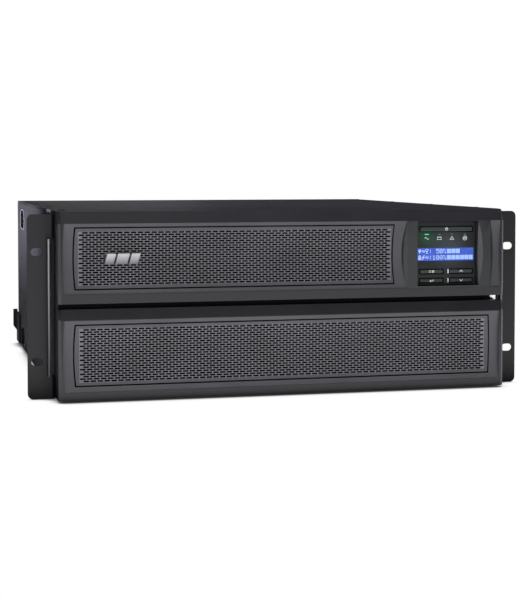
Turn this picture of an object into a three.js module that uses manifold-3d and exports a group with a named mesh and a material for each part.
// A rackmount uninterruptible power supply, four rack units high, with short depth.
// Units are millimetres. +X is to the right seen from the front, +Y runs to the rear and +Z is up.
// The origin is under the middle of the object, on the surface that it rests on.

import * as THREE from 'three';
import { mergeVertices } from 'three/addons/utils/BufferGeometryUtils.js';
import Module from 'manifold-3d';

const wasm = await Module();
wasm.setup();

// ---------------------------------------------------------------- driving dimensions

const rackWidth = 482.6; // over both rack ears, the 19 inch standard
const bodyWidth = 432; // over the chassis sides
const bodyDepth = 483; // from the face of the bezels to the rear edge of the sides
const bodyBottom = 1.7; // underside of the base pan
const bodyTop = 174.2; // upper face of the top cover
const sheet = 1.5; // chassis sheet metal
const gap = 0.3; // between pieces that touch
const slack = 0.5; // between pieces that slide or turn past each other

const half = bodyWidth / 2;
const front = -bodyDepth / 2;
const rear = bodyDepth / 2;
const bezelDepth = 13.5;
const chassisFront = front + bezelDepth + slack;
const rearPanelFront = 232; // the rear panel stands back inside the sides
const rearPanelBack = rearPanelFront + sheet;
const shelfBottom = 87; // the shelf between the battery bay and the electronics
const shelfTop = shelfBottom + sheet;
const innerLeft = -half + sheet + gap;
const innerRight = -innerLeft;
const innerBottom = bodyBottom + sheet + gap;
const innerTop = bodyTop - sheet - gap;

// Bezels: two moulded fronts with a dark gap between them.
const bezelWall = 3;
const bezelRim = 2.5;
const bezelChamfer = 2.6;
const upperBezelBottom = 90.3;
const lowerBezelTop = 85.3;
const lowerBezelBottom = 2;
const leanStart = 11; // height of the leaning strip along the top of the upper bezel
const leanDepth = 5.5;
const upperGrille = { left: -201, right: 104, bottom: 103, top: 159.8 };
const lowerGrille = { left: -201, right: 200.5, bottom: 14.8, top: 71.3 };
const grooveWidth = 1;
const grilleSetback = 1.2;
const grilleLip = 4;
const badgeArea = { left: -174, right: -140.5, bottom: 126.5, top: 136 };
const badgeThick = 0.8;
const clipReach = 20;
const clipX = 209.8;
const clipWidth = 2.4;
const clipHeight = 10;
const upperClips = [108, 156];
const lowerClips = [18, 60];
const clipRoom = 0.8; // around a clip in the frame behind it

// Display: a square module that pulls straight out of its well.
const displayWell = { left: 126.8, right: 189.4, bottom: 100.4, top: 162.8 };
const displayFace = front + 7;
const displayDepth = 46;
const wellWall = 1.8;
const buttonStandout = 0.6;
const buttonDepth = 2.8;
const buttonPocket = 4;
const buttonRoom = 0.4;
const displayHollow = 12; // from the display's face to its open back
const powerButton = { left: 131.9, right: 185.7, bottom: 152.5, top: 157.3 };
const navColumns = [[131.5, 155.5], [162.2, 185.7]];
const navRows = [[111.9, 116], [103, 107.2]];
const lcd = { left: 129.3, right: 187.1, bottom: 124.1, top: 136.5 };
const lcdPocket = 3;

// Rack ears: a flange with two slotted holes, a forward lip and a leg along the side.
const earSheet = 2;
const earFace = -210.5;
const earBottom = 0.2;
const earTop = 171.2;
const earCorner = 5;
const earBend = 3;
const earLegEnd = -120;
const earHoleX = 232.55;
const earHoleSpacing = 101.6;
const earHoleLength = 11;
const earHoleHeight = 7.2;
const earLip = { outer: 223.3, inner: 221.3, reach: 10, bottom: 21.9, top: 148.6 };
const earScrewY = -165;
const earScrewHeights = [40, 131];
const earScrewHead = { radius: 4.4, thick: 2 };
const earScrewShank = { radius: 2, hole: 2.6 };

// Sides.
const handHold = { front: 142, back: 195, height: 22.6 };
const handHoldBottoms = [4.9, 142.3];
const padHalf = { x: 26, y: 14 };
const padCorner = 4;
const padX = 170;
const padY = 200;
const hookPlate = { front: 203, back: rear, bottom: innerBottom, top: 38.5, thick: 2 };
const hookFlange = { outer: 222.5, front: 236.5, back: 239, bottom: 14.7, slant: 22, top: 42.1 };

// Battery drawer.
const bay = { left: -193, right: 193, bottom: 7.5, top: 80.5 };
const trayHalf = 190;
const trayBack = 150;
const trayBottom = 9;
const trayTop = 70;
const drawerPlate = { half: 206, front: chassisFront - gap - 1.6, bottom: 6.5, top: 81.5 };
const trayWall = 1.5;
const battery = { half: 91, halfDepth: 180, step: 3, lid: 8, top: 76, x: 94, y: -36 };
const plug = { half: 30, deep: 20, bottom: 28, top: 56, hole: 4.2 };
const socket = { half: 34, deep: 16, bottom: 24, top: 60, pin: 3.4, reach: 13 };
const contactX = 14;
const contactZ = 42;
const thumbscrewX = 199.5;
const thumbscrewZ = 44;
const thumbscrewHole = 2.8;
const knob = { teeth: 16, ridge: 5.6, root: 5.1, length: 6.6 };
const driverSlot = { half: 0.6, deep: 1.2 };
const handleHalf = 45;
const handleDrop = 33;
const handleBar = 2.5;
const handleCorner = 6;
const handleNeck = 3; // from the bar's side to where its end turns outward
const handleEnd = 8;
const lug = { near: 3.2, far: 11, reach: 4.2, half: 4.4 };
const handlePivotZ = 56;
const handlePivotY = drawerPlate.front - 3.2;

// Rear fittings.
const fanSize = 80;
const fanDepth = 25;
const fanBore = 38.5;
const fanHub = 16;
const fanCentres = { left: -160, right: -72 };
const fanZ = 130;
const fanBlades = 7;
const socketDepth = 24;
const flangeThick = 2;
const moat = 3.4; // width of the ring-shaped recess around an outlet's core
const moatDepth = 15;
const ring = { width: 2, thick: 1.6, radii: [13, 25, 37] }; // of a fan guard
const spoke = { start: 12, end: 46, half: 1 };

// Every rear fitting has a body through the panel, placed by its centre, and a flange outside.
const outletBlocks = { left: 55, right: 153 };
const outletBlockZ = 128;
const outletPitch = { x: 40, z: 27 };
const outlet = { width: 24.5, height: 17 };
const largeOutlet = { width: 30, height: 22 };
const fittings = {
  outletBlock: { width: 82, height: 54 },
  highCurrentOutlet: { x: 84, z: 43, width: 36, height: 28 },
  acInlet: { x: 184, z: 43, width: 40, height: 32 },
  breaker: { x: 134, z: 43, width: 24, height: 24 },
  portBlock: { x: -103, z: 43, width: 34, height: 34 },
  batteryPort: { x: -168, z: 43, width: 50, height: 30 },
  commsSlot: { x: -16, z: 43, width: 104, height: 34 },
};
const inletPocket = { width: 33, height: 25, deep: 20 };
const inletPins = [[-8, -3], [8, -3], [0, 5]];
const inletPin = { width: 2.2, height: 8, near: 21, far: 8 };
const breakerCollar = { radius: 8, reach: 4.5, bore: 5.2, deep: 9 };
const breakerCap = { foot: 4.6, tip: 3.6, step: 1.3, top: 0.5, deep: 3 };
const dataPorts = [
  { x: -8, z: 8, width: 12.5, height: 11 },
  { x: 8, z: 8, width: 9, height: 8.5 },
  { x: -8, z: -8, width: 12.5, height: 9 },
  { x: 8, z: -8, width: 11, height: 9 },
];
const dataPortDepth = 14;
const batteryPocket = { x: 12, width: 18, height: 20, deep: 18 };
const slotCover = { half: 60, halfHeight: 20, screwX: 54, screw: 4, pull: 14, reach: 5 };
const stud = { x: -8, nut: 5.5, nutThick: 4, thread: 2.5 };

// Electronics on one board above the shelf.
const board = { half: 185, near: -165, far: 198, bottom: 95, top: 96.6 };
const standoff = { columns: [-175, 0, 110], rows: [-150, 180], radius: 4 };
const sink = { x: -100, y: 60, fins: 13, pitch: 10, fin: 1, half: 62, halfDepth: 85, base: 8, top: 58 };
const core = { half: 45, halfDepth: 20, top: 56, window: 10.5, windowX: 22.5, bottom: 10, ceiling: 46 };
const winding = { half: 31, halfDepth: 37, corner: 8, bottom: 12, top: 44, inner: 13 };
const inductorSpot = { x: 40, y: 60 };
const can = { x: 140, y: 40, radius: 17, height: 52, rim: 15.5, top: 54 };

// ---------------------------------------------------------------- materials

function finish(color, roughness, metalness) {
  return new THREE.MeshStandardMaterial({ color, roughness, metalness });
}

const blackSteel = finish(0x1f1f21, 0.5, 0.5);
const greySteel = finish(0x55555a, 0.45, 0.6);
const zincSteel = finish(0xb9bcc0, 0.35, 0.9);
const bezelPlastic = finish(0x3e3e42, 0.5, 0);
const meshSteel = finish(0x4c4c50, 0.45, 0.4);
const displayPlastic = finish(0x3a4244, 0.35, 0);
const buttonPlastic = finish(0x2a3133, 0.4, 0);
const screenGlass = finish(0x2f6fd6, 0.15, 0);
const badgeMetal = finish(0xc9ccd1, 0.25, 0.9);
const rubber = finish(0x161616, 0.9, 0);
const socketPlastic = finish(0x18181a, 0.4, 0);
const boardLaminate = finish(0x1d5a35, 0.5, 0);
const aluminium = finish(0xc3c6c9, 0.35, 0.9);
const copper = finish(0xa8582c, 0.35, 0.8);
const ferrite = finish(0x37383a, 0.7, 0.1);
const batteryCase = finish(0x2b2d30, 0.6, 0);
const capacitorSleeve = finish(0x22304e, 0.4, 0.1);

// ---------------------------------------------------------------- scene helpers

const group = new THREE.Group();

function place(name, geometry, material, x = 0, y = 0, z = 0) {
  const mesh = new THREE.Mesh(geometry, material);
  mesh.name = name;
  mesh.position.set(x, y, z);
  group.add(mesh);
  return mesh;
}

function toSolid(geometry) {
  const bare = geometry.clone();
  bare.deleteAttribute('normal');
  bare.deleteAttribute('uv');
  const merged = mergeVertices(bare, 0.0001);
  const vertProperties = new Float32Array(merged.attributes.position.array);
  const triVerts = new Uint32Array(merged.index.array);
  return new wasm.Manifold(new wasm.Mesh({ numProp: 3, vertProperties, triVerts }));
}

function toGeometry(solid) {
  const mesh = solid.getMesh();
  const geometry = new THREE.BufferGeometry();
  geometry.setAttribute('position', new THREE.BufferAttribute(mesh.vertProperties, 3));
  geometry.setIndex(new THREE.BufferAttribute(mesh.triVerts, 1));
  geometry.computeVertexNormals();
  return geometry;
}

function join(...pieces) {
  let result = toSolid(pieces[0]);
  for (const piece of pieces.slice(1)) {
    result = result.add(toSolid(piece));
  }
  return toGeometry(result);
}

function cut(body, ...cutters) {
  let result = toSolid(body);
  for (const cutter of cutters) {
    result = result.subtract(toSolid(cutter));
  }
  return toGeometry(result);
}

function common(first, second) {
  return toGeometry(toSolid(first).intersect(toSolid(second)));
}

// ---------------------------------------------------------------- shape helpers

function box(left, right, near, far, bottom, top) {
  const geometry = new THREE.BoxGeometry(right - left, far - near, top - bottom);
  geometry.translate((left + right) / 2, (near + far) / 2, (bottom + top) / 2);
  return geometry;
}

// A rectangle with round corners, drawn anticlockwise.
function rounded(left, right, bottom, top, radius) {
  const shape = new THREE.Shape();
  shape.moveTo(left + radius, bottom);
  shape.lineTo(right - radius, bottom);
  shape.absarc(right - radius, bottom + radius, radius, -Math.PI / 2, 0);
  shape.lineTo(right, top - radius);
  shape.absarc(right - radius, top - radius, radius, 0, Math.PI / 2);
  shape.lineTo(left + radius, top);
  shape.absarc(left + radius, top - radius, radius, Math.PI / 2, Math.PI);
  shape.lineTo(left, bottom + radius);
  shape.absarc(left + radius, bottom + radius, radius, Math.PI, Math.PI * 1.5);
  return shape;
}

// A slot with round ends, longer along the first direction.
function slot(left, right, bottom, top) {
  const radius = (top - bottom) / 2;
  const middle = (top + bottom) / 2;
  const shape = new THREE.Shape();
  shape.moveTo(left + radius, bottom);
  shape.lineTo(right - radius, bottom);
  shape.absarc(right - radius, middle, radius, -Math.PI / 2, Math.PI / 2);
  shape.lineTo(left + radius, top);
  shape.absarc(left + radius, middle, radius, Math.PI / 2, Math.PI * 1.5);
  return shape;
}

function polygon(points) {
  return new THREE.Shape(points.map(([x, y]) => new THREE.Vector2(x, y)));
}

function extrude(shape, depth) {
  return new THREE.ExtrudeGeometry(shape, { depth, bevelEnabled: false, curveSegments: 4 });
}

// A plate that faces front and back; its outline is drawn in X and Z.
function uprightPlate(shape, near, far) {
  const geometry = extrude(shape, far - near);
  geometry.rotateX(Math.PI / 2);
  geometry.translate(0, far, 0);
  return geometry;
}

// A plate that faces left and right; its outline is drawn in Y and Z.
function sidePlate(shape, left, right) {
  const geometry = extrude(shape, right - left);
  const basis = new THREE.Matrix4().makeBasis(
    new THREE.Vector3(0, 1, 0),
    new THREE.Vector3(0, 0, 1),
    new THREE.Vector3(1, 0, 0),
  );
  geometry.applyMatrix4(basis);
  geometry.translate(left, 0, 0);
  return geometry;
}

// A plate that lies level; its outline is drawn in X and Y.
function levelPlate(shape, bottom, top) {
  const geometry = extrude(shape, top - bottom);
  geometry.translate(0, 0, bottom);
  return geometry;
}

// A round rod along Y.
function rodY(x, z, radius, near, far, sides = 24) {
  const geometry = new THREE.CylinderGeometry(radius, radius, far - near, sides);
  geometry.translate(x, (near + far) / 2, z);
  return geometry;
}

// A round rod along X.
function rodX(y, z, radius, left, right, sides = 16) {
  const geometry = new THREE.CylinderGeometry(radius, radius, right - left, sides);
  geometry.rotateZ(Math.PI / 2);
  geometry.translate((left + right) / 2, y, z);
  return geometry;
}

// A round rod along Z.
function rodZ(x, y, radius, bottom, top, sides = 24) {
  const geometry = new THREE.CylinderGeometry(radius, radius, top - bottom, sides);
  geometry.rotateX(Math.PI / 2);
  geometry.translate(x, y, (bottom + top) / 2);
  return geometry;
}

function mirrored(geometry) {
  const solid = toSolid(geometry);
  const mesh = solid.getMesh();
  const flipped = mesh.vertProperties.map((value, index) => (index % 3 === 0 ? -value : value));
  const triangles = mesh.triVerts.slice();
  for (let corner = 0; corner < triangles.length; corner += 3) {
    [triangles[corner], triangles[corner + 1]] = [triangles[corner + 1], triangles[corner]];
  }
  const result = new THREE.BufferGeometry();
  result.setAttribute('position', new THREE.BufferAttribute(flipped, 3));
  result.setIndex(new THREE.BufferAttribute(triangles, 1));
  result.computeVertexNormals();
  return result;
}

function grown(area, margin) {
  return {
    left: area.left - margin,
    right: area.right + margin,
    bottom: area.bottom - margin,
    top: area.top + margin,
  };
}

function block(area, near, far) {
  return box(area.left, area.right, near, far, area.bottom, area.top);
}

// ---------------------------------------------------------------- chassis

function sidePanel() {
  const shape = polygon([
    [chassisFront, innerBottom],
    [rear, innerBottom],
    [rear, innerTop],
    [chassisFront, innerTop],
  ]);
  for (const bottom of handHoldBottoms) {
    shape.holes.push(slot(handHold.front, handHold.back, bottom, bottom + handHold.height));
  }
  return sidePlate(shape, -half, -half + sheet);
}

function addChassisShell() {
  place('base_pan', box(-half, half, chassisFront, rear, bodyBottom, bodyBottom + sheet), blackSteel);
  place('top_cover', box(-half, half, chassisFront, rear, bodyTop - sheet, bodyTop), blackSteel);
  place('left_side_panel', sidePanel(), blackSteel);
  place('right_side_panel', mirrored(sidePanel()), blackSteel);
}

function thumbscrewBore(side, near, far) {
  return rodY(side * thumbscrewX, thumbscrewZ, thumbscrewHole, near, far, 16);
}

function addFrontFrame() {
  const plate = box(innerLeft, innerRight, chassisFront, chassisFront + sheet, innerBottom, innerTop);
  const throughNear = chassisFront - 1;
  const throughFar = chassisFront + sheet + 1;
  const openings = [
    block(bay, throughNear, throughFar),
    block(grown(displayWell, 1), throughNear, throughFar),
  ];
  for (const side of [-1, 1]) {
    for (const height of [...upperClips, ...lowerClips]) {
      const clip = clipArea(side, height);
      openings.push(block(grown(clip, clipRoom), throughNear, throughFar));
    }
    openings.push(thumbscrewBore(side, throughNear, throughFar));
  }
  place('front_frame', cut(plate, ...openings), blackSteel);
}

function addShelf() {
  const near = chassisFront + sheet + gap;
  const far = rearPanelFront - gap;
  const pieces = [box(innerLeft, innerRight, near, far, shelfBottom, shelfTop)];
  for (const x of standoff.columns) {
    for (const y of standoff.rows) {
      pieces.push(rodZ(x, y, standoff.radius, shelfTop - 0.5, board.bottom - gap, 8));
    }
  }
  place('mid_shelf', join(...pieces), zincSteel);
}

function addPads() {
  for (const [sideName, x] of [['left', -padX], ['right', padX]]) {
    for (const [endName, y] of [['front', -padY], ['rear', padY]]) {
      const shape = rounded(-padHalf.x, padHalf.x, -padHalf.y, padHalf.y, padCorner);
      const pad = levelPlate(shape, 0, bodyBottom - gap);
      place(`${endName}_${sideName}_pad`, pad, rubber, x, y, 0);
    }
  }
}

// ---------------------------------------------------------------- rack ears and rear hooks

// The ear seen from above: flange, bend and leg in one folded sheet.
function earProfile() {
  const inner = half + gap;
  const outerFace = inner + earSheet;
  const bendX = -inner - earBend;
  const bendY = earFace + earBend;
  const shape = new THREE.Shape();
  shape.moveTo(-rackWidth / 2, earFace);
  shape.lineTo(bendX, earFace);
  shape.absarc(bendX, bendY, earBend, -Math.PI / 2, 0);
  shape.lineTo(-inner, earLegEnd);
  shape.lineTo(-outerFace, earLegEnd);
  shape.lineTo(-outerFace, bendY);
  shape.absarc(bendX, bendY, earBend - earSheet, 0, -Math.PI / 2, true);
  shape.lineTo(-rackWidth / 2, earFace + earSheet);
  return shape;
}

function rackEar() {
  const middle = (earBottom + earTop) / 2;
  const folded = levelPlate(earProfile(), earBottom, earTop);
  const outline = rounded(-rackWidth / 2, -half + earCorner * 2, earBottom, earTop, earCorner);
  const trimmed = common(folded, uprightPlate(outline, earFace - 1, earLegEnd + 1));
  const cutters = [];
  for (const offset of [-earHoleSpacing / 2, earHoleSpacing / 2]) {
    const low = middle + offset - earHoleHeight / 2;
    const outer = -earHoleX - earHoleLength / 2;
    const hole = slot(outer, outer + earHoleLength, low, low + earHoleHeight);
    cutters.push(uprightPlate(hole, earFace - 1, earFace + earSheet + 1));
  }
  for (const height of earScrewHeights) {
    cutters.push(rodX(earScrewY, height, earScrewShank.hole, -half - earSheet - 1, -half, 12));
  }
  const { outer, inner, reach, bottom, top } = earLip;
  cutters.push(box(-inner, -half, earFace - 1, earFace + earBend, bottom, top));
  const lip = box(-outer, -inner, earFace - reach, earFace + 1, bottom, top);
  return join(cut(trimmed, ...cutters), lip);
}

function earScrew() {
  const headInner = half + gap + earSheet + gap;
  const head = rodX(0, 0, earScrewHead.radius, -headInner - earScrewHead.thick, -headInner, 16);
  const shank = rodX(0, 0, earScrewShank.radius, -headInner - 0.5, -half - gap, 12);
  return join(head, shank);
}

function hookBracket() {
  const inner = -half - gap;
  const root = inner - hookPlate.thick / 2;
  const { thick, bottom, top } = hookPlate;
  const plate = box(inner - thick, inner, hookPlate.front, hookPlate.back, bottom, top);
  const flange = polygon([
    [root, hookFlange.bottom],
    [root, hookFlange.top],
    [-hookFlange.outer, hookFlange.top],
    [-hookFlange.outer, hookFlange.slant],
  ]);
  return join(plate, uprightPlate(flange, hookFlange.front, hookFlange.back));
}

function addSideFittings() {
  const ear = rackEar();
  place('left_rack_ear', ear, greySteel);
  place('right_rack_ear', mirrored(ear), greySteel);
  const hook = hookBracket();
  place('left_rear_hook', hook, greySteel);
  place('right_rear_hook', mirrored(hook), greySteel);
  const screw = earScrew();
  earScrewHeights.forEach((height, index) => {
    const level = index === 0 ? 'lower' : 'upper';
    place(`left_ear_${level}_screw`, screw, zincSteel, 0, earScrewY, height);
    place(`right_ear_${level}_screw`, mirrored(screw), zincSteel, 0, earScrewY, height);
  });
}

// ---------------------------------------------------------------- bezels and grilles

function clipArea(side, height) {
  return {
    left: side * clipX - clipWidth / 2,
    right: side * clipX + clipWidth / 2,
    bottom: height - clipHeight / 2,
    top: height + clipHeight / 2,
  };
}

// A bezel is a shallow shell, open at the back, with chamfered front corners.
function bezelShell(sideProfile, bottom, top, clips) {
  const back = front + bezelDepth;
  const plan = polygon([
    [-half, back],
    [-half, front + bezelChamfer],
    [-half + bezelChamfer, front],
    [half - bezelChamfer, front],
    [half, front + bezelChamfer],
    [half, back],
  ]);
  const outer = common(sidePlate(sideProfile, -half, half), levelPlate(plan, bottom, top));
  const inner = box(
    -half + bezelRim,
    half - bezelRim,
    front + bezelWall,
    back + 1,
    bottom + bezelRim,
    top - bezelRim,
  );
  const fingers = [];
  for (const side of [-1, 1]) {
    for (const height of clips) {
      fingers.push(block(clipArea(side, height), front + bezelWall / 2, front + clipReach));
    }
  }
  return join(cut(outer, inner), ...fingers);
}

function upperBezel() {
  const back = front + bezelDepth;
  const profile = polygon([
    [back, upperBezelBottom],
    [back, bodyTop],
    [front + leanDepth, bodyTop],
    [front, bodyTop - leanStart],
    [front, upperBezelBottom],
  ]);
  const shell = bezelShell(profile, upperBezelBottom, bodyTop, upperClips);
  const well = block(grown(displayWell, wellWall), front + 1, back);
  const window = block(upperGrille, front - 1, back + 1);
  return cut(join(shell, well), window, block(displayWell, front - 1, back + 1));
}

function lowerBezel() {
  const back = front + bezelDepth;
  const profile = polygon([
    [back, lowerBezelBottom],
    [back, lowerBezelTop],
    [front + 1.5, lowerBezelTop],
    [front, lowerBezelTop - 1.5],
    [front, lowerBezelBottom + 1.5],
    [front + 1.5, lowerBezelBottom],
  ]);
  const shell = bezelShell(profile, lowerBezelBottom, lowerBezelTop, lowerClips);
  return cut(shell, block(lowerGrille, front - 1, back + 1));
}

// A grille is a raised field in the bezel's window on a wider flange behind the bezel's wall.
function grille(window) {
  const field = grown(window, -grooveWidth);
  const flange = grown(window, grilleLip);
  const flangeNear = front + bezelWall + gap;
  return join(
    block(field, front + grilleSetback, flangeNear + 0.5),
    block(flange, flangeNear, flangeNear + 1),
  );
}

function badge() {
  const shape = rounded(badgeArea.left, badgeArea.right, badgeArea.bottom, badgeArea.top, 1.5);
  const face = front + grilleSetback;
  return uprightPlate(shape, face - gap - badgeThick, face - gap);
}

function addBezels() {
  place('upper_bezel', upperBezel(), bezelPlastic);
  place('upper_grille', grille(upperGrille), meshSteel);
  place('badge', badge(), badgeMetal);
  place('lower_bezel', lowerBezel(), bezelPlastic);
  place('lower_grille', grille(lowerGrille), meshSteel);
}

// ---------------------------------------------------------------- display module

function displayHousing(buttons) {
  const back = displayFace + displayDepth;
  const body = block(grown(displayWell, -slack), displayFace, back);
  const hollow = block(grown(displayWell, -4), displayFace + displayHollow, back + 1);
  const pocketBack = displayFace + buttonPocket;
  const pockets = buttons.map((area) => block(grown(area, buttonRoom), displayFace - 1, pocketBack));
  const window = block(grown(lcd, gap), displayFace - 1, displayFace + lcdPocket);
  return cut(body, hollow, window, ...pockets);
}

function button(area) {
  const width = area.right - area.left;
  const height = area.top - area.bottom;
  const shape = rounded(-width / 2, width / 2, -height / 2, height / 2, 1);
  return uprightPlate(shape, -buttonStandout, buttonDepth);
}

function addDisplay() {
  const buttons = [['power_button', powerButton]];
  const rowNames = ['upper', 'lower'];
  const columnNames = ['left', 'right'];
  navRows.forEach(([bottom, top], row) => {
    navColumns.forEach(([left, right], column) => {
      buttons.push([`${rowNames[row]}_${columnNames[column]}_button`, { left, right, bottom, top }]);
    });
  });
  place('display_housing', displayHousing(buttons.map(([, area]) => area)), displayPlastic);
  place('display_window', block(lcd, displayFace + 0.4, displayFace + lcdPocket - gap), screenGlass);
  for (const [name, area] of buttons) {
    const x = (area.left + area.right) / 2;
    const z = (area.bottom + area.top) / 2;
    place(name, button(area), buttonPlastic, x, displayFace, z);
  }
}

// ---------------------------------------------------------------- battery drawer

function batteryTray() {
  const { half: plateHalf, front: plateFront, bottom, top } = drawerPlate;
  const plateBack = chassisFront - gap;
  const near = plateBack - 0.5;
  const pieces = [
    box(-plateHalf, plateHalf, plateFront, plateBack, bottom, top),
    box(-trayHalf, trayHalf, near, trayBack, trayBottom, trayBottom + trayWall),
    box(-trayHalf, -trayHalf + trayWall, near, trayBack, trayBottom, trayTop),
    box(trayHalf - trayWall, trayHalf, near, trayBack, trayBottom, trayTop),
    box(-trayHalf, trayHalf, trayBack - trayWall, trayBack, trayBottom, trayTop),
  ];
  const holes = [];
  for (const side of [-1, 1]) {
    pieces.push(handleLug(side));
    holes.push(thumbscrewBore(side, plateFront - 1, chassisFront));
    holes.push(handleBore(side));
  }
  return cut(join(...pieces), ...holes);
}

// Left and right of a span on one side, measured outward from the middle.
function spanOn(side, from, to) {
  return side < 0 ? [-to, -from] : [from, to];
}

function handleLug(side) {
  const [left, right] = spanOn(side, handleHalf + lug.near, handleHalf + lug.far);
  const near = handlePivotY - lug.reach;
  const far = drawerPlate.front + 0.5;
  return box(left, right, near, far, handlePivotZ - lug.half, handlePivotZ + lug.half);
}

function handleBore(side) {
  const [left, right] = spanOn(side, handleHalf + 2, handleHalf + 9);
  return rodX(handlePivotY, handlePivotZ, handleBar + 0.4, left, right);
}

// The handle is a bent round bar whose two ends turn in the lugs.
function drawerHandle() {
  const point = (x, z) => new THREE.Vector3(x, 0, z);
  const left = [
    [-handleHalf - handleEnd, 0],
    [-handleHalf - handleNeck, 0],
    [-handleHalf, 0],
    [-handleHalf, -handleNeck],
    [-handleHalf, -handleDrop + handleCorner],
    [-handleHalf, -handleDrop],
    [-handleHalf + handleCorner, -handleDrop],
  ];
  const right = left.map(([x, z]) => [-x, z]).reverse();
  const points = [...left, ...right].map(([x, z]) => point(x, z));
  const path = new THREE.CurvePath();
  const straight = (from) => path.add(new THREE.LineCurve3(points[from], points[from + 1]));
  const bend = (from) => {
    path.add(new THREE.QuadraticBezierCurve3(points[from], points[from + 1], points[from + 2]));
  };
  straight(0);
  bend(1);
  straight(3);
  bend(4);
  straight(6);
  bend(7);
  straight(9);
  bend(10);
  straight(12);
  const section = new THREE.Shape();
  section.absarc(0, 0, handleBar, 0, Math.PI * 2);
  return new THREE.ExtrudeGeometry(section, { extrudePath: path, steps: 44, curveSegments: 4 });
}

// A captive screw with a knurled knob and a driver slot.
function thumbscrew() {
  const points = [];
  for (let step = 0; step < knob.teeth * 2; step += 1) {
    const angle = (step / (knob.teeth * 2)) * Math.PI * 2;
    const radius = step % 2 === 0 ? knob.ridge : knob.root;
    points.push([radius * Math.cos(angle), radius * Math.sin(angle)]);
  }
  const grip = uprightPlate(polygon(points), -knob.length, -gap);
  const shank = rodY(0, 0, 2, -1, 5, 12);
  const slotNear = -knob.length - 1;
  const slotFar = -knob.length + driverSlot.deep;
  const slit = box(-4, 4, slotNear, slotFar, -driverSlot.half, driverSlot.half);
  return cut(join(grip, shank), slit);
}

function batteryPack() {
  const { half: wide, halfDepth: deep, step, lid, top } = battery;
  const low = trayBottom + trayWall + gap;
  const body = box(-wide, wide, -deep, deep, low, top - lid);
  const cover = box(-wide + step, wide - step, -deep + step, deep - step, top - lid - 1, top);
  return join(body, cover);
}

function contactRods(radius, near, far) {
  return [-contactX, contactX].map((x) => rodY(x, contactZ, radius, near, far, 16));
}

function batteryPlug() {
  const far = trayBack + plug.deep;
  const body = box(-plug.half, plug.half, trayBack + gap, far, plug.bottom, plug.top);
  return cut(body, ...contactRods(plug.hole, trayBack + 5, far + 1));
}

function batterySocket() {
  const near = trayBack + plug.deep + slack;
  const far = near + socket.deep;
  const body = box(-socket.half, socket.half, near, far, socket.bottom, socket.top);
  const foot = box(-plug.half, plug.half, near + 4, far - 2, innerBottom, socket.bottom + 1);
  return join(body, foot, ...contactRods(socket.pin, near - socket.reach, near + 1));
}

function addBatteryDrawer() {
  place('battery_tray', batteryTray(), zincSteel);
  place('left_battery', batteryPack(), batteryCase, -battery.x, battery.y, 0);
  place('right_battery', batteryPack(), batteryCase, battery.x, battery.y, 0);
  place('battery_plug', batteryPlug(), socketPlastic);
  place('battery_socket', batterySocket(), socketPlastic);
  place('drawer_handle', drawerHandle(), zincSteel, 0, handlePivotY, handlePivotZ);
  const screw = thumbscrew();
  place('left_thumbscrew', screw, zincSteel, -thumbscrewX, drawerPlate.front, thumbscrewZ);
  place('right_thumbscrew', screw, zincSteel, thumbscrewX, drawerPlate.front, thumbscrewZ);
}

// ---------------------------------------------------------------- electronics

function heatSink() {
  const floor = board.top + gap;
  const back = sink.halfDepth;
  const base = box(-sink.half, sink.half, -back, back, floor, board.top + sink.base);
  const fins = [];
  for (let fin = 0; fin < sink.fins; fin += 1) {
    const x = (fin - (sink.fins - 1) / 2) * sink.pitch;
    const low = board.top + sink.base - 1;
    fins.push(box(x - sink.fin, x + sink.fin, -back, back, low, board.top + sink.top));
  }
  return join(base, ...fins);
}

function inductorCore() {
  const { half: wide, halfDepth: deep, top, window, windowX, bottom, ceiling } = core;
  const windows = [-windowX, windowX].map((x) => {
    return box(x - window, x + window, -deep - 1, deep + 1, bottom, ceiling);
  });
  return cut(box(-wide, wide, -deep, deep, 0, top), ...windows);
}

function inductorWinding() {
  const { half: wide, halfDepth: deep, corner, bottom, top, inner } = winding;
  const outer = levelPlate(rounded(-wide, wide, -deep, deep, corner), bottom, top);
  const leg = core.halfDepth + 1;
  return cut(outer, box(-inner, inner, -leg, leg, bottom - 1, top + 1));
}

function capacitor() {
  return join(
    rodZ(0, 0, can.radius, 0, can.height),
    rodZ(0, 0, can.rim, can.height - 1, can.top),
  );
}

function addElectronics() {
  const floor = board.top + gap;
  const laminate = box(-board.half, board.half, board.near, board.far, board.bottom, board.top);
  place('main_circuit_board', laminate, boardLaminate);
  place('heat_sink', heatSink(), aluminium, sink.x, sink.y, 0);
  place('inductor_core', inductorCore(), ferrite, inductorSpot.x, inductorSpot.y, floor);
  place('inductor_winding', inductorWinding(), copper, inductorSpot.x, inductorSpot.y, floor);
  place('bulk_capacitor', capacitor(), capacitorSleeve, can.x, can.y, floor);
}

// ---------------------------------------------------------------- cooling fans

function fanHousing() {
  const frame = rounded(-fanSize / 2, fanSize / 2, -fanSize / 2, fanSize / 2, 4);
  const body = uprightPlate(frame, 0, fanDepth);
  const shell = cut(body, rodY(0, 0, fanBore, -1, fanDepth + 1, 40));
  const pieces = [rodY(0, 0, fanHub, 0, 4)];
  for (let strut = 0; strut < 4; strut += 1) {
    const bar = box(fanHub - 2, fanBore + 1, 0, 3, -2, 2);
    bar.rotateY((strut + 0.5) * (Math.PI / 2));
    pieces.push(bar);
  }
  return join(shell, ...pieces);
}

function fanRotor() {
  const near = 5;
  const far = fanDepth - 3;
  const pieces = [rodY(0, 0, fanHub + 1, near, far)];
  for (let blade = 0; blade < fanBlades; blade += 1) {
    const vane = box(fanHub - 1, fanBore - 2, -10, 10, -0.8, 0.8);
    vane.rotateX(0.9);
    vane.translate(0, (near + far) / 2, 0);
    vane.rotateY((blade / fanBlades) * Math.PI * 2);
    pieces.push(vane);
  }
  return join(...pieces);
}

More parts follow.
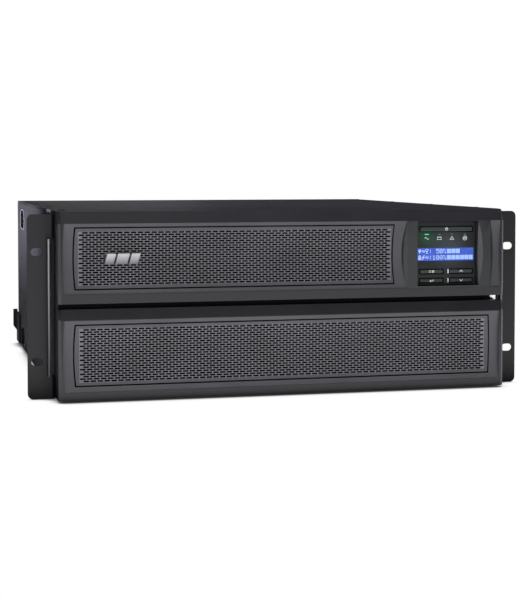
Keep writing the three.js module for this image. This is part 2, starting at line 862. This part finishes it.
// Flat rings held by four bars.
function fanGuard() {
  const pieces = ring.radii.map((radius) => {
    const outer = rodY(0, 0, radius + ring.width / 2, 0, ring.thick, 32);
    return cut(outer, rodY(0, 0, radius - ring.width / 2, -1, ring.thick + 1, 32));
  });
  for (let count = 0; count < 4; count += 1) {
    const bar = box(spoke.start, spoke.end, 0, ring.thick, -spoke.half, spoke.half);
    bar.rotateY((count + 0.5) * (Math.PI / 2));
    pieces.push(bar);
  }
  return join(...pieces);
}

function addFans() {
  for (const [side, x] of Object.entries(fanCentres)) {
    const near = rearPanelFront - slack - fanDepth;
    place(`${side}_fan_housing`, fanHousing(), socketPlastic, x, near, fanZ);
    place(`${side}_fan_rotor`, fanRotor(), socketPlastic, x, near, fanZ);
    place(`${side}_fan_guard`, fanGuard(), zincSteel, x, rearPanelBack + gap, fanZ);
  }
}

// ---------------------------------------------------------------- rear panel and its fittings

function centred(x, z, width, height) {
  return { left: x - width / 2, right: x + width / 2, bottom: z - height / 2, top: z + height / 2 };
}

// A body behind the panel with a flange on the panel's outer face.
function flanged(width, height, depth, rim) {
  const inside = centred(0, 0, width, height);
  return join(
    block(inside, rearPanelBack - depth, rearPanelBack + gap + 0.5),
    block(grown(inside, rim), rearPanelBack + gap, rearPanelBack + gap + flangeThick),
  );
}

// An outlet's outline, with its two upper corners cut off.
function outletOutline(x, z, width, height, corner) {
  const { left, right, bottom, top } = centred(x, z, width, height);
  return polygon([
    [left, bottom],
    [right, bottom],
    [right, top - corner],
    [right - corner, top],
    [left + corner, top],
    [left, top - corner],
  ]);
}

// The recess around an outlet's core that a mains plug's shroud goes into.
function outletRecess(x, z, { width, height }) {
  const face = rearPanelBack + gap + flangeThick;
  const deep = face - moatDepth;
  const ringPlate = uprightPlate(outletOutline(x, z, width, height, 4), deep, face + 1);
  const inside = outletOutline(x, z, width - 2 * moat, height - 2 * moat, 2);
  const middle = uprightPlate(inside, deep - 1, face + 2);
  const contacts = [[-4.5, -1.5], [4.5, -1.5], [0, 1.8]].map(([dx, dz]) => {
    return block(centred(x + dx, z + dz, 1.6, 4), face - 8, face + 1);
  });
  return [cut(ringPlate, middle), ...contacts];
}

function outletBlock() {
  const cutters = [];
  for (const column of [-0.5, 0.5]) {
    for (const row of [-0.5, 0.5]) {
      cutters.push(...outletRecess(column * outletPitch.x, row * outletPitch.z, outlet));
    }
  }
  const size = fittings.outletBlock;
  return cut(flanged(size.width, size.height, socketDepth, 3), ...cutters);
}

function highCurrentOutlet() {
  const size = fittings.highCurrentOutlet;
  return cut(flanged(size.width, size.height, socketDepth, 3), ...outletRecess(0, 0, largeOutlet));
}

function acInlet() {
  const size = fittings.acInlet;
  const face = rearPanelBack + gap + flangeThick;
  const mouth = centred(0, 0, inletPocket.width, inletPocket.height);
  const pocket = block(mouth, face - inletPocket.deep, face + 1);
  const pins = inletPins.map(([x, z]) => {
    const pin = centred(x, z, inletPin.width, inletPin.height);
    return block(pin, face - inletPin.near, face - inletPin.far);
  });
  return join(cut(flanged(size.width, size.height, socketDepth, 4), pocket), ...pins);
}

function breakerBody() {
  const size = fittings.breaker;
  const { radius, reach, bore, deep } = breakerCollar;
  const collar = rodY(0, 0, radius, rearPanelBack + gap, rearPanelBack + reach);
  const body = join(flanged(size.width, size.height, socketDepth, 2), collar);
  return cut(body, rodY(0, 0, bore, rearPanelBack - deep, rear + 1));
}

function breakerButton() {
  const near = rearPanelBack - breakerCap.deep;
  return join(
    rodY(0, 0, breakerCap.foot, near, rear - breakerCap.step),
    rodY(0, 0, breakerCap.tip, near, rear - breakerCap.top),
  );
}

function portBlock() {
  const size = fittings.portBlock;
  const face = rearPanelBack + gap + flangeThick;
  const pockets = dataPorts.map(({ x, z, width, height }) => {
    return block(centred(x, z, width, height), face - dataPortDepth, face + 1);
  });
  return cut(flanged(size.width, size.height, socketDepth, 2), ...pockets);
}

function batteryPort() {
  const size = fittings.batteryPort;
  const face = rearPanelBack + gap + flangeThick;
  const { x: offset, width, height, deep } = batteryPocket;
  const pockets = [-offset, offset].map((x) => {
    return block(centred(x, 0, width, height), face - deep, face + 1);
  });
  return cut(flanged(size.width, size.height, socketDepth, 3), ...pockets);
}

function commsSlotCover() {
  const near = rearPanelBack + gap;
  const { half: wide, halfHeight, screwX, screw, pull, reach } = slotCover;
  const plate = box(-wide, wide, near, near + sheet, -halfHeight, halfHeight);
  const screws = [-screwX, screwX].map((x) => rodY(x, 0, screw, near + 1, near + 4.5, 16));
  const grip = box(-pull, pull, near + 1, near + reach, -16, -13);
  return join(plate, grip, ...screws);
}

function groundStud() {
  const near = rearPanelBack + gap;
  const nut = rodY(0, 0, stud.nut, near, near + stud.nutThick, 6);
  return join(nut, rodY(0, 0, stud.thread, near, rear - 0.5, 12));
}

function addRearPanel() {
  const plate = box(innerLeft, innerRight, rearPanelFront, rearPanelBack, innerBottom, innerTop);
  const near = rearPanelFront - 1;
  const far = rearPanelBack + 1;
  const openings = Object.values(fanCentres).map((x) => rodY(x, fanZ, fanBore - 1, near, far, 32));
  for (const x of Object.values(outletBlocks)) {
    const { width, height } = fittings.outletBlock;
    openings.push(block(grown(centred(x, outletBlockZ, width, height), slack), near, far));
  }
  for (const { x, z, width, height } of Object.values(fittings).slice(1)) {
    openings.push(block(grown(centred(x, z, width, height), slack), near, far));
  }
  place('rear_panel', cut(plate, ...openings), zincSteel);
}

function addRearFittings() {
  for (const [side, x] of Object.entries(outletBlocks)) {
    place(`${side}_outlet_block`, outletBlock(), socketPlastic, x, 0, outletBlockZ);
  }
  const single = [
    ['high_current_outlet', highCurrentOutlet, fittings.highCurrentOutlet, socketPlastic],
    ['ac_inlet', acInlet, fittings.acInlet, socketPlastic],
    ['breaker_body', breakerBody, fittings.breaker, socketPlastic],
    ['breaker_button', breakerButton, fittings.breaker, rubber],
    ['port_block', portBlock, fittings.portBlock, socketPlastic],
    ['external_battery_port', batteryPort, fittings.batteryPort, socketPlastic],
    ['comms_slot_cover', commsSlotCover, fittings.commsSlot, zincSteel],
  ];
  for (const [name, build, spot, material] of single) {
    place(name, build(), material, spot.x, 0, spot.z);
  }
  place('ground_stud', groundStud(), zincSteel, stud.x, 0, fanZ);
}

addChassisShell();
addFrontFrame();
addShelf();
addPads();
addSideFittings();
addBezels();
addDisplay();
addBatteryDrawer();
addElectronics();
addFans();
addRearPanel();
addRearFittings();

export default group;
